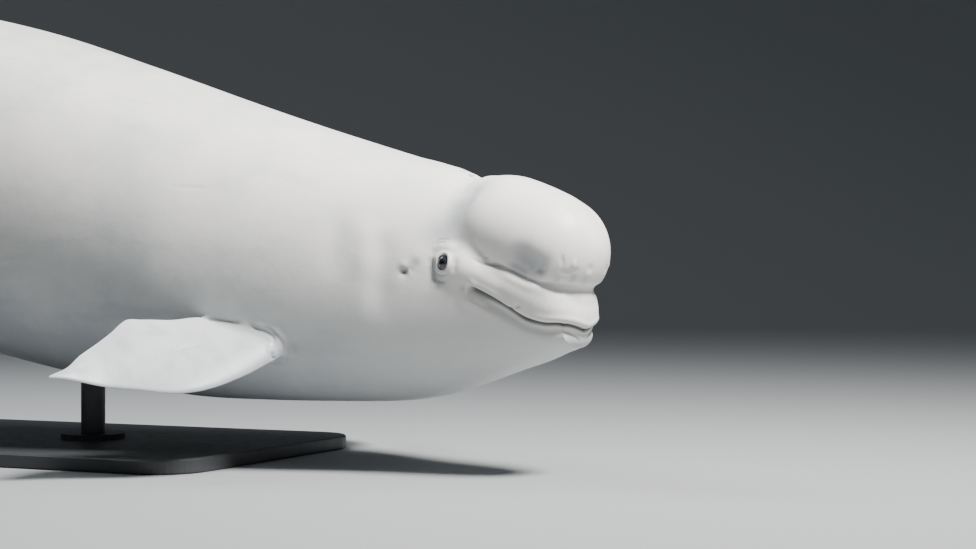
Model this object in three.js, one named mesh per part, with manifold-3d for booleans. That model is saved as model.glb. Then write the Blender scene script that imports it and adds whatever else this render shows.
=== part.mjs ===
// A life-size still model of a beluga whale, swimming with its head turned to its right, held by
// a plain display stand. The body is shaped once, straight and symmetrical, as one smooth field,
// parted into its named pieces, and then bent into the pose. Sizes are in millimetres, +X is the
// way the whale swims, +Z is up, and the origin is the middle of the stand's underside.
import * as THREE from "three";
import { mergeVertices } from "three/addons/utils/BufferGeometryUtils.js";
import Module from "manifold-3d";

const wasm = await Module();
wasm.setup();
const { Vector3 } = THREE;

// Driving dimensions. A distance called behind is measured from the tip of the snout to the tail.
const NOTCH_BEHIND = 4200;
const SKIN_GAP = 0.3;
const DEGREE = Math.PI / 180;

// The pose: the body points nose down, the head is turned and the tail flexes down.
const BODY_PITCH = -9.6 * DEGREE;
const TAIL_PITCH = 4 * DEGREE;
const HEAD_TURN = 10 * DEGREE;
const TURN_FROM = 400;
const TURN_TO = 860;
const FLEX_FROM = 1700;
const FLEX_TO = 4000;
const POISE_BEHIND = 1900;
const POISE_HEIGHT = 735;

// The trunk with the throat and lower jaw: how far behind, back height, belly height, half width.
const TRUNK = [
  [36, -50, -110, 58],
  [90, -8, -157, 96],
  [180, 72, -205, 130],
  [280, 172, -258, 160],
  [380, 226, -305, 198],
  [500, 244, -343, 252],
  [660, 263, -376, 304],
  [870, 291, -414, 346],
  [1080, 323, -444, 382],
  [1400, 376, -456, 412],
  [1750, 427, -448, 426],
  [2100, 446, -430, 420],
  [2500, 424, -392, 384],
  [2900, 355, -330, 308],
  [3300, 255, -235, 200],
  [3650, 155, -145, 104],
  [3880, 104, -98, 58],
  [4030, 68, -66, 36],
  [4180, 22, -22, 16],
];
const TRUNK_SQUARENESS = 2.15;

// The dome of the head, as two rounded masses, the chin, and the bridge between the dome and the
// upper lip: centre behind, height, half sizes.
const MELON = { behind: 148, height: 88, half: new Vector3(150, 137, 138) };
const CROWN = { behind: 258, height: 112, half: new Vector3(160, 148, 136) };
const CHIN = { behind: 68, height: -95, half: new Vector3(48, 61, 28) };
const BRIDGE = { behind: 67, height: -8, half: new Vector3(49, 48, 44) };

// Each lip is a roll from the middle of the snout to the corner of the mouth.
const UPPER_LIP = {
  line: [
    [51, 0, -57],
    [51, 64, -57],
    [130, 82, -13],
    [284, 130, 26],
  ],
  thick: [44, 41],
  swell: 6,
};
const LOWER_LIP = {
  line: [
    [58, 0, -99],
    [58, 52, -99],
    [130, 78, -94],
    [262, 126, -52],
  ],
  thick: [24, 20],
  swell: 0,
};

// The line of the mouth: how far behind and its height.
const MOUTH = [
  [-10, -97],
  [0, -93],
  [12, -80],
  [28, -71],
  [60, -70],
  [110, -70],
  [146, -60],
  [181, -44],
  [218, -28],
  [250, -17],
  [320, -6],
];
const MOUTH_CORNER = 250;
const MOUTH_DEEP = 10;
const MOUTH_HIGH = 6;

const EYE = { behind: 318, height: 30, radius: 25 };
const EAR = { behind: 402, height: -6, radius: 5 };
const BLOWHOLE = { behind: 366, left: 10, radius: 28, deep: 9 };

// Where the whole is parted, as distances behind the tip of the snout.
const NECK_FROM = 480;
const STRETCHES = {
  neck: { from: NECK_FROM, to: 670, rows: 5, round: 52 },
  chest: { from: 670, to: 1480, rows: 12, round: 44 },
  belly: { from: 1480, to: 2420, rows: 11, round: 44 },
  loin: { from: 2420, to: 3180, rows: 10, round: 44 },
  tail_stock: { from: 3180, to: 4170, rows: 15, round: 40 },
};

// A flipper points back, out and down from its root, and its upper face looks up and outward.
const FLIPPER = {
  behind: 755,
  out: 290,
  height: -242,
  points: [0.55, 0.78, -0.28],
  faces: [-0.3, 0.5, 0.8],
  root: -70,
  length: 523,
  front: [
    [-70, 40],
    [-10, 61],
    [60, 84],
    [144, 100],
    [208, 101],
    [270, 87],
    [352, 48],
    [415, 21],
    [478, -1],
    [523, -14],
  ],
  rear: [
    [-70, -45],
    [0, -60],
    [45, -92],
    [111, -119],
    [193, -119],
    [258, -132],
    [295, -141],
    [345, -112],
    [432, -67],
    [476, -35],
    [523, -20],
  ],
  thick: [
    [-70, 76],
    [0, 70],
    [110, 52],
    [265, 34],
    [430, 18],
    [523, 8],
  ],
  cup: 34,
  curl: 22,
};
const FLUKE = {
  half_span: 520,
  front: [
    [-20, -3800],
    [60, -3865],
    [150, -3930],
    [280, -4020],
    [400, -4115],
    [480, -4190],
    [520, -4246],
  ],
  rear: [
    [-20, -4192],
    [18, -4204],
    [80, -4238],
    [200, -4276],
    [330, -4288],
    [440, -4278],
    [500, -4262],
    [520, -4256],
  ],
  thick: [
    [-20, 84],
    [60, 68],
    [200, 42],
    [400, 22],
    [520, 10],
  ],
  droop: 26,
};
const RIDGE = { from: 1930, to: 2640, high: 26, half_wide: 34 };

const STAND = {
  long: 1900,
  wide: 900,
  thick: 36,
  corner: 120,
  bevel: 4,
  rod_radius: 32,
  flange_radius: 85,
  flange_thick: 14,
  rods_behind: [1440, 2420],
};

const clamp = THREE.MathUtils.clamp;
const smoothStep = THREE.MathUtils.smoothstep;

// A smooth curve through a few [place, value] rows, level with its end rows outside them.
function curveThrough(rows, column = 1) {
  const slope = rows.map((row, i) => {
    const before = rows[Math.max(i - 1, 0)];
    const after = rows[Math.min(i + 1, rows.length - 1)];
    return (after[column] - before[column]) / (after[0] - before[0]);
  });
  return (place) => {
    const at = clamp(place, rows[0][0], rows.at(-1)[0]);
    let i = 0;
    while (i < rows.length - 2 && at > rows[i + 1][0]) i += 1;
    const step = rows[i + 1][0] - rows[i][0];
    const t = (at - rows[i][0]) / step;
    const rise = rows[i + 1][column] - rows[i][column];
    const a = slope[i] * step - rise;
    const b = rise - slope[i + 1] * step;
    return rows[i][column] + rise * t + t * (1 - t) * (a * (1 - t) + b * t);
  };
}

// The lesser of two distances, with the crease between them rounded over a width.
function blend(a, b, width) {
  const near = Math.max(width - Math.abs(a - b), 0) / width;
  return Math.min(a, b) - (near * near * width) / 4;
}

function roundedMass(p, mass) {
  const x = (p.x + mass.behind) / mass.half.x;
  const y = p.y / mass.half.y;
  const z = (p.z - mass.height) / mass.half.z;
  const out = Math.hypot(x, y, z);
  const grade = Math.hypot(x / mass.half.x, y / mass.half.y, z / mass.half.z);
  return (out * (out - 1)) / Math.max(grade, 1e-9);
}

const trunkBack = curveThrough(TRUNK, 1);
const trunkBelly = curveThrough(TRUNK, 2);
const trunkHalf = curveThrough(TRUNK, 3);
const mouthHeight = curveThrough(MOUTH);

function trunk(p) {
  const behind = -p.x;
  const back = trunkBack(behind);
  const belly = trunkBelly(behind);
  const half = trunkHalf(behind);
  const tall = (back - belly) / 2;
  const y = Math.abs(p.y) / half;
  const z = Math.abs(p.z - (back + belly) / 2) / tall;
  const n = TRUNK_SQUARENESS;
  const side = ((y ** n + z ** n) ** (1 / n) - 1) * Math.min(half, tall);
  const ahead = TRUNK[0][0] - behind;
  const past = behind - TRUNK.at(-1)[0];
  return Math.max(side, ahead, past);
}

// A roll's middle line as short straight steps, with its radius at each.
function rollSteps(roll, count = 14) {
  const points = roll.line.map(([behind, out, high]) => new Vector3(-behind, out, high));
  const curve = new THREE.CubicBezierCurve3(...points);
  return Array.from({ length: count + 1 }, (_, i) => ({
    at: curve.getPoint(i / count),
    radius:
      THREE.MathUtils.lerp(roll.thick[0], roll.thick[1], i / count) +
      roll.swell * Math.sin((Math.PI * i) / count),
  }));
}
const upperLip = rollSteps(UPPER_LIP);
const lowerLip = rollSteps(LOWER_LIP);

function rollDistance(p, steps) {
  const here = new Vector3(p.x, Math.abs(p.y), p.z);
  let least = Infinity;
  for (let i = 0; i + 1 < steps.length; i += 1) {
    const a = steps[i];
    const b = steps[i + 1];
    const along = b.at.clone().sub(a.at);
    const t = clamp(here.clone().sub(a.at).dot(along) / along.lengthSq(), 0, 1);
    const away = here.distanceTo(a.at.clone().addScaledVector(along, t));
    least = Math.min(least, away - THREE.MathUtils.lerp(a.radius, b.radius, t));
  }
  return least;
}

// The whole skin as a field that is below zero inside the whale and above it outside.
function skin(p) {
  const behind = -p.x;
  let body = trunk(p);
  if (behind < 560) {
    const dome = blend(roundedMass(p, MELON), roundedMass(p, CROWN), 40);
    body = blend(body, roundedMass(p, CHIN), 40);
    body = blend(body, rollDistance(p, lowerLip), 22);
    body = blend(body, dome, 26);
    body = blend(body, roundedMass(p, BRIDGE), 26);
    const aside = smoothStep(Math.abs(p.y), 20, 95);
    const fold = 34 - 22 * aside + 24 * smoothStep(behind, 190, 290);
    body = blend(body, rollDistance(p, upperLip), fold);
    const off = (p.z - mouthHeight(behind)) / MOUTH_HIGH;
    const open = 1 - smoothStep(behind, MOUTH_CORNER - 12, MOUTH_CORNER + 14);
    body += MOUTH_DEEP * Math.exp(-off * off) * open;
  }
  return body;
}

// Where a ray from inside the whale comes out of the skin raised by a given amount.
function surfaceFrom(start, way, raised) {
  const p = new Vector3();
  let far = 0;
  for (let i = 0; i < 60; i += 1) {
    p.copy(start).addScaledVector(way, far);
    far -= 0.8 * (skin(p) - raised);
  }
  return p.copy(start).addScaledVector(way, far);
}

// Rays fan out from the middle of the head over the snout, and leave the axis squarely behind it.
const FAN_BEHIND = 200;
const FAN_HEIGHT = 18;
const FAN_PITCH = Math.atan2(MOUTH[0][1] - FAN_HEIGHT, FAN_BEHIND);
const AXIS = curveThrough([
  [FAN_BEHIND, FAN_HEIGHT],
  [520, -10],
  [1200, 0],
  [NOTCH_BEHIND, 0],
]);

function skinPoint(row, round, raised = 0) {
  const fan = Math.min(row, 0) * -1;
  const pitch = (FAN_PITCH * fan) / (Math.PI / 2);
  const open = Math.PI / 2 - fan;
  const ahead = new Vector3(Math.cos(pitch), 0, Math.sin(pitch));
  const up = new Vector3(-Math.sin(pitch), 0, Math.cos(pitch));
  const way = ahead.multiplyScalar(Math.cos(open));
  way.addScaledVector(up, Math.sin(open) * Math.cos(round));
  way.addScaledVector(new Vector3(0, -1, 0), Math.sin(open) * Math.sin(round));
  const behind = Math.max(row, FAN_BEHIND);
  return surfaceFrom(new Vector3(-behind, 0, AXIS(behind)), way, raised);
}

// How far round from the back the line of the mouth lies on a row.
function mouthRound(row) {
  if (row > MOUTH_CORNER) return mouthRound(MOUTH_CORNER);
  let low = 60 * DEGREE;
  let high = 130 * DEGREE;
  for (let i = 0; i < 22; i += 1) {
    const middle = (low + high) / 2;
    const p = skinPoint(row, middle);
    if (p.z > mouthHeight(-p.x)) low = middle;
    else high = middle;
  }
  return (low + high) / 2;
}

// One closed ring of skin. Its points crowd towards the line of the mouth by a given share.
function skinRing(row, count, crowd, raised = 0) {
  const side = mouthRound(row);
  const half = count / 2;
  const mouthAt = Math.round((half * side) / Math.PI);
  const turns = [];
  for (let i = 0; i <= half; i += 1) {
    const below = i > mouthAt;
    const t = below ? (i - mouthAt) / (half - mouthAt) : (mouthAt - i) / mouthAt;
    const eased = t * (1 - crowd) + t * t * crowd;
    turns.push(below ? side + eased * (Math.PI - side) : side - eased * side);
  }
  const right = turns.map((round) => skinPoint(row, round, raised));
  const left = right.slice(1, -1).reverse();
  return [...right, ...left.map((p) => new Vector3(p.x, -p.y, p.z))];
}

// A closed geometry over rings of equally many points, with a point over each end.
function loft(rings, first = middleOf(rings[0]), last = middleOf(rings.at(-1))) {
  const count = rings[0].length;
  const points = [...rings.flat(), first, last];
  const index = [];
  for (let i = 0; i < count; i += 1) {
    const next = (i + 1) % count;
    const end = (rings.length - 1) * count;
    index.push(points.length - 2, next, i);
    index.push(points.length - 1, end + i, end + next);
    for (let r = 0; r < end; r += count) {
      index.push(r + i, r + next, r + count + i);
      index.push(r + next, r + count + next, r + count + i);
    }
  }
  return facingOut(points, index);
}

function middleOf(ring) {
  return ring.reduce((sum, p) => sum.add(p), new Vector3()).divideScalar(ring.length);
}

function facingOut(points, index) {
  let volume = 0;
  for (let i = 0; i < index.length; i += 3) {
    const [a, b, c] = [points[index[i]], points[index[i + 1]], points[index[i + 2]]];
    volume += a.dot(b.clone().cross(c));
  }
  if (volume < 0) index.reverse();
  const geometry = new THREE.BufferGeometry().setFromPoints(points);
  return geometry.setIndex(index);
}

// The spine's course, stepped out from the place over the stand, with its heading at each step.
const STEP = 20;
const AHEAD_OF_SNOUT = 60;

function pitchAt(behind) {
  return BODY_PITCH + (TAIL_PITCH - BODY_PITCH) * smoothStep(behind, FLEX_FROM, FLEX_TO);
}

function turnAt(behind) {
  return HEAD_TURN * (1 - smoothStep(behind, TURN_FROM, TURN_TO));
}

function headingAt(behind) {
  const turn = turnAt(behind);
  const pitch = pitchAt(behind);
  const level = Math.cos(pitch);
  return new Vector3(level * Math.cos(turn), -level * Math.sin(turn), Math.sin(pitch));
}

function courseOfSpine() {
  const course = new Map();
  const start = new Vector3(0, 0, POISE_HEIGHT);
  for (const way of [1, -1]) {
    const at = start.clone();
    const end = way > 0 ? NOTCH_BEHIND + 200 : -AHEAD_OF_SNOUT;
    for (let behind = POISE_BEHIND; way * (end - behind) >= 0; behind += way * STEP) {
      course.set(behind, at.clone());
      at.addScaledVector(headingAt(behind + (way * STEP) / 2), -way * STEP);
    }
  }
  return course;
}
const course = courseOfSpine();

// Carries a point of the straight whale into the pose.
function posed(p) {
  const behind = clamp(-p.x, -AHEAD_OF_SNOUT, NOTCH_BEHIND + 180);
  const before = Math.floor(behind / STEP) * STEP;
  const at = course.get(before).clone();
  at.lerp(course.get(before + STEP), (behind - before) / STEP);
  const ahead = headingAt(behind);
  const turn = turnAt(behind);
  const left = new Vector3(Math.sin(turn), Math.cos(turn), 0);
  const up = new Vector3().crossVectors(ahead, left);
  return at.addScaledVector(left, p.y).addScaledVector(up, p.z);
}

function posedGeometry(geometry) {
  const place = geometry.getAttribute("position");
  for (let i = 0; i < place.count; i += 1) {
    const p = posed(new Vector3().fromBufferAttribute(place, i));
    place.setXYZ(i, p.x, p.y, p.z);
  }
  return geometry;
}

function solidOf(geometry) {
  const plain = new THREE.BufferGeometry();
  plain.setAttribute("position", geometry.getAttribute("position"));
  plain.setIndex(geometry.getIndex());
  const merged = mergeVertices(plain, 1e-3);
  return new wasm.Manifold(
    new wasm.Mesh({
      numProp: 3,
      vertProperties: new Float32Array(merged.attributes.position.array),
      triVerts: new Uint32Array(merged.index.array),
    }),
  );
}

function geometryOf(solid) {
  const mesh = solid.getMesh();
  const geometry = new THREE.BufferGeometry();
  const place = new THREE.BufferAttribute(mesh.vertProperties, mesh.numProp);
  geometry.setAttribute("position", place);
  return geometry.setIndex(new THREE.BufferAttribute(mesh.triVerts, 1));
}

function largestOf(solid) {
  const pieces = solid.decompose();
  return pieces.reduce((best, piece) => (piece.volume() > best.volume() ? piece : best));
}

// A stretch of the trunk, which stops short of the next by the gap. A stretch raised out of the
// skin serves to trim what grows on it, and runs a little past both its ends.
const PAST_END = 1;

function stretch(name, raised = 0) {
  const { from, to, rows, round } = STRETCHES[name];
  const long = to - SKIN_GAP - from;
  const places = Array.from({ length: rows + 1 }, (_, i) => from + (long * i) / rows);
  if (raised > 0) {
    places[0] -= PAST_END;
    places[rows] += PAST_END;
  }
  return posedGeometry(loft(places.map((behind) => skinRing(behind, round, 0, raised))));
}

// The whole head: a fan of rings over the snout, then rings back to the neck.
const HEAD_COLUMNS = 68;
const FAN_ROWS = 18;
const CHEEK_ROWS = 16;
const MOUTH_CROWD = 0.55;

function wholeHead() {
  const rings = [];
  for (let i = 1; i <= FAN_ROWS; i += 1) {
    const share = 1 - i / FAN_ROWS;
    rings.push(skinRing((-share * Math.PI) / 2, HEAD_COLUMNS, MOUTH_CROWD));
  }
  const end = NECK_FROM - SKIN_GAP;
  for (let i = 1; i <= CHEEK_ROWS; i += 1) {
    const behind = FAN_BEHIND + ((end - FAN_BEHIND) * i) / CHEEK_ROWS;
    rings.push(skinRing(behind, HEAD_COLUMNS, MOUTH_CROWD));
  }
  return loft(rings, skinPoint(-Math.PI / 2, 0));
}

// A slab through the head from side to side, cut out along an outline of [behind, height].
const HEAD_HALF_WIDE = 330;

function slabThroughHead(outline) {
  const shape = new THREE.Shape(outline.map(([behind, high]) => new THREE.Vector2(-behind, high)));
  const slab = new THREE.ExtrudeGeometry(shape, { depth: 2 * HEAD_HALF_WIDE, bevelEnabled: false });
  slab.translate(0, 0, -HEAD_HALF_WIDE);
  slab.rotateX(Math.PI / 2);
  return solidOf(mergeVertices(slab.deleteAttribute("normal").deleteAttribute("uv")));
}

// The lower jaw lies under the line of the mouth and ahead of a line down from its corner.
function jawSlab(sink) {
  const lip = [];
  for (let behind = -60; behind < MOUTH_CORNER; behind += 20) {
    lip.push([behind, mouthHeight(behind) - sink]);
  }
  const corner = MOUTH_CORNER - sink;
  lip.push([corner, mouthHeight(MOUTH_CORNER) - sink]);
  return slabThroughHead([...lip, [corner + 60, -420], [-60, -420]]);
}

// The melon sits on the upper lip's crease and ends at the dip in front of the neck.
const MELON_FOOT = [
  [-60, 17],
  [20, 18],
  [70, 20],
  [127, 31],
  [187, 49],
  [260, 64],
];
const MELON_REAR = [352, 340];

function melonSlab(rise) {
  const foot = MELON_FOOT.map(([behind, high]) => [behind - rise, high + rise]);
  return slabThroughHead([...foot, [MELON_REAR[0] - rise, MELON_REAR[1]], [-60, MELON_REAR[1]]]);
}

// How the eye faces: straight out of the skin on one side, +1 for the left and -1 for the right.
function faceOfSkin(behind, height, side) {
  const from = new Vector3(-behind, 0, height);
  const out = new Vector3(0, side, 0);
  const at = surfaceFrom(from, out, 0);
  const small = 2;
  const tilt = (axis) => skin(at.clone().addScaledVector(axis, small)) - skin(at.clone().addScaledVector(axis, -small));
  const normal = new Vector3(
    tilt(new Vector3(1, 0, 0)),
    tilt(new Vector3(0, 1, 0)),
    tilt(new Vector3(0, 0, 1)),
  );
  return { at, normal: normal.normalize() };
}

const EYE_SUNK = 18;
const LID = { radius: 18, thick: 6, wide: 0.95, high: 1.3, sunk: 2 };

function eyeCentre(side) {
  const face = faceOfSkin(EYE.behind, EYE.height, side);
  return face.at.clone().addScaledVector(face.normal, -EYE_SUNK);
}

function eyeBall(side, raised = 0) {
  const ball = new THREE.SphereGeometry(EYE.radius + raised, 16, 10);
  ball.deleteAttribute("normal").deleteAttribute("uv");
  const centre = eyeCentre(side);
  return mergeVertices(ball.translate(centre.x, centre.y, centre.z));
}

function eyeLids(side) {
  const face = faceOfSkin(EYE.behind, EYE.height, side);
  const ring = new THREE.TorusGeometry(LID.radius, LID.thick, 6, 18);
  ring.deleteAttribute("normal").deleteAttribute("uv");
  ring.scale(LID.wide, LID.high, 1);
  const turn = new THREE.Quaternion().setFromUnitVectors(new Vector3(0, 0, 1), face.normal);
  ring.applyQuaternion(turn);
  const at = face.at.clone().addScaledVector(face.normal, -LID.sunk);
  return mergeVertices(ring.translate(at.x, at.y, at.z));
}

// The pit of the ear, a small hollow behind the eye.
function earPit(side) {
  const face = faceOfSkin(EAR.behind, EAR.height, side);
  const pit = new THREE.IcosahedronGeometry(EAR.radius, 1);
  pit.deleteAttribute("normal").deleteAttribute("uv");
  return mergeVertices(pit.translate(face.at.x, face.at.y, face.at.z));
}

// The blowhole is a crescent slit, open to the front, cut straight down into the crown.
function blowholeCut() {
  const shape = new THREE.Shape();
  const wide = BLOWHOLE.radius;
  shape.absarc(0, 0, wide, 0.12 * Math.PI, 0.88 * Math.PI, false);
  shape.absarc(0, -wide * 0.16, wide * 0.93, 0.86 * Math.PI, 0.14 * Math.PI, true);
  const cut = new THREE.ExtrudeGeometry(shape, { depth: 120, bevelEnabled: false, curveSegments: 8 });
  cut.deleteAttribute("normal").deleteAttribute("uv");
  cut.rotateZ(Math.PI / 2);
  const top = surfaceFrom(new Vector3(-BLOWHOLE.behind, BLOWHOLE.left, 0), new Vector3(0, 0, 1), 0);
  return mergeVertices(cut.translate(top.x, top.y, top.z - BLOWHOLE.deep));
}

function headPieces() {
  let head = solidOf(wholeHead());
  for (const side of [1, -1]) {
    head = head.add(solidOf(eyeLids(side)));
    head = head.subtract(solidOf(eyeBall(side, SKIN_GAP)));
    head = head.subtract(solidOf(earPit(side)));
  }
  head = head.subtract(solidOf(blowholeCut()));
  const half = SKIN_GAP / 2;
  const jaw = head.intersect(jawSlab(half));
  const melon = head.intersect(melonSlab(half));
  const face = head.subtract(jawSlab(-half)).subtract(melonSlab(-half));
  return {
    head: geometryOf(largestOf(face)),
    melon: geometryOf(largestOf(melon)),
    lower_jaw: geometryOf(largestOf(jaw)),
  };
}

// A blade such as a flipper or a fluke, from its front and rear edges and its thickness. It lies
// across a plane whose axes run out along the span, forward over the chord and up.
const BLADE_POINTS = 11;

function blade(shape, stations, place) {
  const front = curveThrough(shape.front);
  const rear = curveThrough(shape.rear);
  const thick = curveThrough(shape.thick);
  const rings = stations.map((out) => {
    const ring = [];
    for (const face of [1, -1]) {
      for (let i = 0; i < BLADE_POINTS; i += 1) {
        const turn = (Math.PI * i) / BLADE_POINTS;
        const share = face > 0 ? (1 - Math.cos(turn)) / 2 : (1 + Math.cos(turn)) / 2;
        const chord = THREE.MathUtils.lerp(front(out), rear(out), share);
        const full = 1.72 * Math.sqrt(share) * (1 - share) ** 0.75;
        ring.push(place(out, chord, (face * thick(out) * full) / 2));
      }
    }
    return ring;
  });
  return loft(rings);
}

function spread(from, to, count, ease) {
  return Array.from({ length: count + 1 }, (_, i) => from + (to - from) * (i / count) ** ease);
}

// A flipper in its spread plane, cupped towards its rear edge and curled up at its tip.
function flipper(side) {
  const root = new Vector3(-FLIPPER.behind, side * FLIPPER.out, FLIPPER.height);
  const [behind, out, high] = FLIPPER.points;
  const span = new Vector3(-behind, side * out, high).normalize();
  const [faceBehind, faceOut, faceHigh] = FLIPPER.faces;
  const up = new Vector3(-faceBehind, side * faceOut, faceHigh);
  up.addScaledVector(span, -up.dot(span)).normalize();
  const chordway = new Vector3().crossVectors(span, up).multiplyScalar(side);
  const place = (out, chord, high) => {
    const share = clamp(out / FLIPPER.length, 0, 1);
    const cup = FLIPPER.cup * smoothStep(-chord, -40, 150) * smoothStep(out, 0, 260);
    const curl = FLIPPER.curl * smoothStep(share, 0.72, 1.0);
    return root
      .clone()
      .addScaledVector(span, out)
      .addScaledVector(chordway, chord)
      .addScaledVector(up, high + cup + curl);
  };
  return blade(FLIPPER, spread(FLIPPER.length, FLIPPER.root, 16, 1.25).reverse(), place);
}

function fluke(side) {
  const place = (out, chord, high) => {
    const share = clamp(out / FLUKE.half_span, 0, 1);
    return new Vector3(chord, side * out, high - FLUKE.droop * share * share);
  };
  return blade(FLUKE, spread(FLUKE.half_span, SKIN_GAP / 2, 13, 1.2).reverse(), place);
}

// The low ridge along the back, where other whales have a fin, with a row of shallow notches.
function ridge() {
  const rings = [];
  const steps = 24;
  for (let i = 0; i <= steps; i += 1) {
    const share = i / steps;
    const behind = RIDGE.from + (RIDGE.to - RIDGE.from) * share;
    const swell = Math.sin(Math.PI * clamp(share, 0.02, 0.98)) ** 0.6;
    const notch = 1 - 0.12 * Math.cos(share * 18 * Math.PI);
    const base = trunkBack(behind);
    const ring = [];
    for (let k = 0; k < 10; k += 1) {
      const turn = (2 * Math.PI * k) / 10;
      const high = Math.sin(turn) > 0 ? RIDGE.high * notch : 14;
      ring.push(new Vector3(-behind, RIDGE.half_wide * swell * Math.cos(turn), base - 6 + high * swell * Math.sin(turn)));
    }
    rings.push(ring);
  }
  return loft(rings);
}

// Trims a piece clear of the skin of the stretches that it meets.
function trimmed(piece, names) {
  let solid = solidOf(piece);
  for (const name of names) solid = solid.subtract(solidOf(stretch(name, SKIN_GAP)));
  return geometryOf(largestOf(solid));
}

// The stand: a flat base with rounded corners, and two rods on flanges up to the belly.
function standBase() {
  const { long, wide, thick, corner, bevel } = STAND;
  const x = long / 2 - bevel;
  const y = wide / 2 - bevel;
  const shape = new THREE.Shape();
  shape.moveTo(-x + corner, -y);
  shape.lineTo(x - corner, -y);
  shape.absarc(x - corner, -y + corner, corner, -Math.PI / 2, 0, false);
  shape.absarc(x - corner, y - corner, corner, 0, Math.PI / 2, false);
  shape.absarc(-x + corner, y - corner, corner, Math.PI / 2, Math.PI, false);
  shape.absarc(-x + corner, -y + corner, corner, Math.PI, 1.5 * Math.PI, false);
  const base = new THREE.ExtrudeGeometry(shape, {
    depth: thick - 2 * bevel,
    bevelThickness: bevel,
    bevelSize: bevel,
    bevelSegments: 1,
    curveSegments: 6,
  });
  base.translate(0, 0, bevel);
  base.deleteAttribute("normal").deleteAttribute("uv");
  return mergeVertices(base);
}

function standRod(behind) {
  const foot = STAND.thick + SKIN_GAP;
  const { rod_radius: rod, flange_radius: flange, flange_thick: lip } = STAND;
  const outline = [
    [0, foot],
    [flange, foot],
    [flange, foot + lip],
    [rod, foot + lip],
    [rod, POISE_HEIGHT],
    [0, POISE_HEIGHT],
  ].map(([r, z]) => new THREE.Vector2(r, z));
  const rodGeometry = new THREE.LatheGeometry(outline, 28).rotateX(Math.PI / 2);
  rodGeometry.deleteAttribute("normal").deleteAttribute("uv");
  const spot = posed(new Vector3(-behind, 0, trunkBelly(behind)));
  rodGeometry.translate(spot.x, spot.y, 0);
  return trimmed(mergeVertices(rodGeometry), ["chest", "belly", "loin"]);
}

// The colours of the living animal and of its stand.
const FLESH = new THREE.MeshStandardMaterial({ color: 0xe4e5e3, roughness: 0.5, metalness: 0 });
const EYE_DARK = new THREE.MeshStandardMaterial({ color: 0x14181c, roughness: 0.1, metalness: 0 });
const STEEL = new THREE.MeshStandardMaterial({ color: 0x3a3d40, roughness: 0.45, metalness: 0.6 });

const whale = new THREE.Group();

function place(name, geometry, material) {
  const mesh = new THREE.Mesh(geometry, material);
  mesh.name = name;
  whale.add(mesh);
}

for (const [name, geometry] of Object.entries(headPieces())) {
  place(name, posedGeometry(geometry), FLESH);
}
place("eye_right", posedGeometry(eyeBall(-1)), EYE_DARK);
place("eye_left", posedGeometry(eyeBall(1)), EYE_DARK);
for (const name of Object.keys(STRETCHES)) place(name, stretch(name), FLESH);
place("dorsal_ridge", trimmed(posedGeometry(ridge()), ["belly", "loin"]), FLESH);
for (const [hand, side] of [
  ["right", -1],
  ["left", 1],
]) {
  place(`flipper_${hand}`, trimmed(posedGeometry(flipper(side)), ["chest"]), FLESH);
  place(`fluke_${hand}`, trimmed(posedGeometry(fluke(side)), ["tail_stock"]), FLESH);
}
place("stand_base", standBase(), STEEL);
place("stand_rod_front", standRod(STAND.rods_behind[0]), STEEL);
place("stand_rod_rear", standRod(STAND.rods_behind[1]), STEEL);

export default whale;
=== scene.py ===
# A life-size still model of an adult beluga whale on a display stand, in the photograph's pose.
# Shapes are worked out in millimetres on a straight whale, whose places are told as how far
# behind the snout, how far to the left and how high, and then bent into the pose in metres.
import math

import bpy
import numpy as np
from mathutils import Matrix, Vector


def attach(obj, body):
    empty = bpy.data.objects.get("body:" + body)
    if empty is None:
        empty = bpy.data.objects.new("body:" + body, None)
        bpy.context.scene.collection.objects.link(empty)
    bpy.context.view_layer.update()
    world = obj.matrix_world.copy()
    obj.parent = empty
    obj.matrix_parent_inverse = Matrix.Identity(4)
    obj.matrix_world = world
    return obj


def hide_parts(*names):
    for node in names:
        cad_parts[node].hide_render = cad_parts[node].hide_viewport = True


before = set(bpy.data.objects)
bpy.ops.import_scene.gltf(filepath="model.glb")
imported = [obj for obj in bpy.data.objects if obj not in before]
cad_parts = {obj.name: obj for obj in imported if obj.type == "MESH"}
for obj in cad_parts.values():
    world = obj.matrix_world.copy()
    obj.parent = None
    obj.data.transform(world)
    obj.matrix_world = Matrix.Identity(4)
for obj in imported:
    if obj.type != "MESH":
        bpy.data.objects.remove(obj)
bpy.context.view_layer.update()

# The trunk is one smooth barrel of blubber under skin, deepest behind the flippers. Each row of
# its table is how far behind the snout, then the height of the back and belly, and half the width.


def curve(rows, column=1):
    """A smooth curve through a table's rows, level with its end rows outside them."""
    rows = np.array(rows, float)
    places, values = rows[:, 0], rows[:, column]
    slope = np.gradient(values, places)
    slope[1:-1] = (values[2:] - values[:-2]) / (places[2:] - places[:-2])

    def value(place):
        place = np.clip(place, places[0], places[-1])
        i = np.clip(np.searchsorted(places, place, side="right") - 1, 0, len(places) - 2)
        long = places[i + 1] - places[i]
        t = (place - places[i]) / long
        rise = values[i + 1] - values[i]
        start = slope[i] * long - rise
        end = rise - slope[i + 1] * long
        return values[i] + rise * t + t * (1 - t) * (start * (1 - t) + end * t)

    return value


def ease(x, start, end):
    """Rises smoothly from 0 at start to 1 at end."""
    t = np.clip((x - start) / (end - start), 0, 1)
    return t * t * (3 - 2 * t)


def merge(a, b, width):
    """The lesser of two distances, with the crease between them rounded over a width."""
    near = np.maximum(width - np.abs(a - b), 0) / width
    return np.minimum(a, b) - near * near * width / 4


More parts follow.
